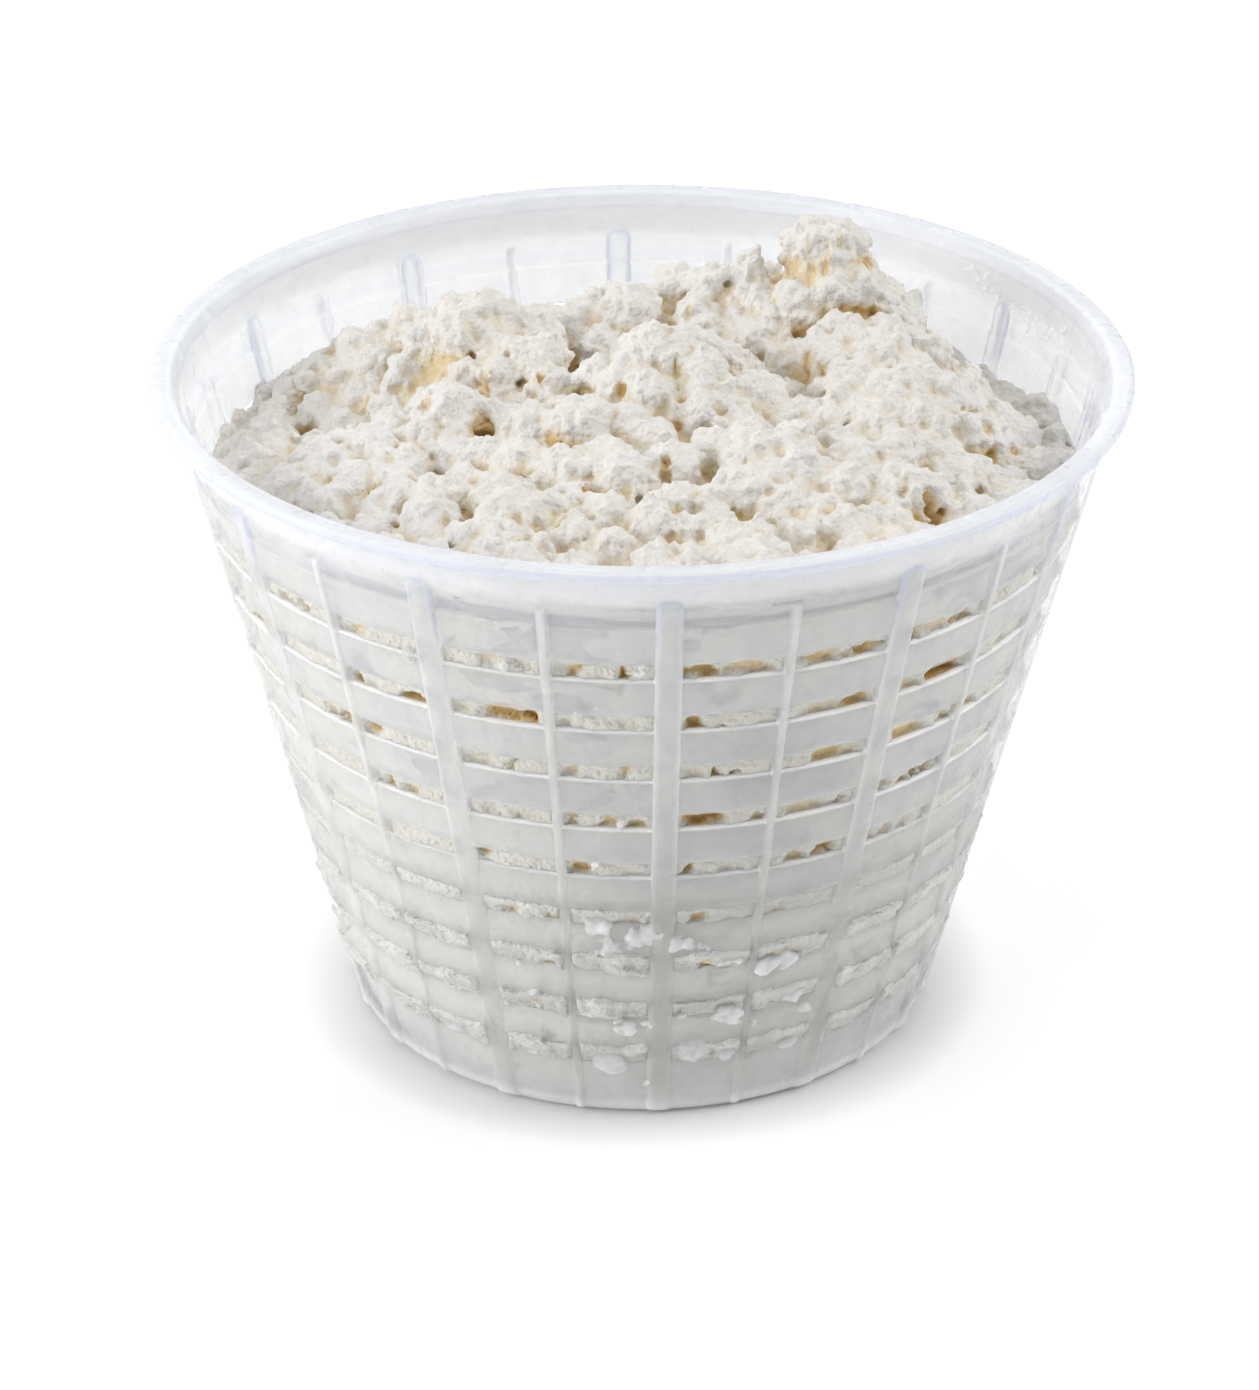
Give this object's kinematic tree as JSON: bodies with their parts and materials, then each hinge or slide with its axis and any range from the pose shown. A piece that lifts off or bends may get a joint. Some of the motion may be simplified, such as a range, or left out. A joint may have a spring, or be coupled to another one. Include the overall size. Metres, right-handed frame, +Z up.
{
  "type": "ricotta in basket",
  "caption": "Fresh ricotta curd heaped unevenly in a round tapered draining basket of milky plastic with rows of slots, upright ribs, a plain band and a flat lip.",
  "frame": {"origin": "centre of the basket's flat underside, on the basket's axis", "axes": "+Z up out of the basket's mouth; -Y towards the front, where one wide rib stands about 3 degrees towards +X; +X to the front view's right"},
  "size_m": [0.1198, 0.1198, 0.094],
  "materials": {
    "basket": "milky translucent polypropylene, satin, with glossy edges",
    "ricotta": "moist fresh curd, soft and grainy, light ochre in its hollows"
  },
  "bodies": {
    "root": {"basket": "basket", "ricotta": "ricotta"}
  },
  "joints": []
}
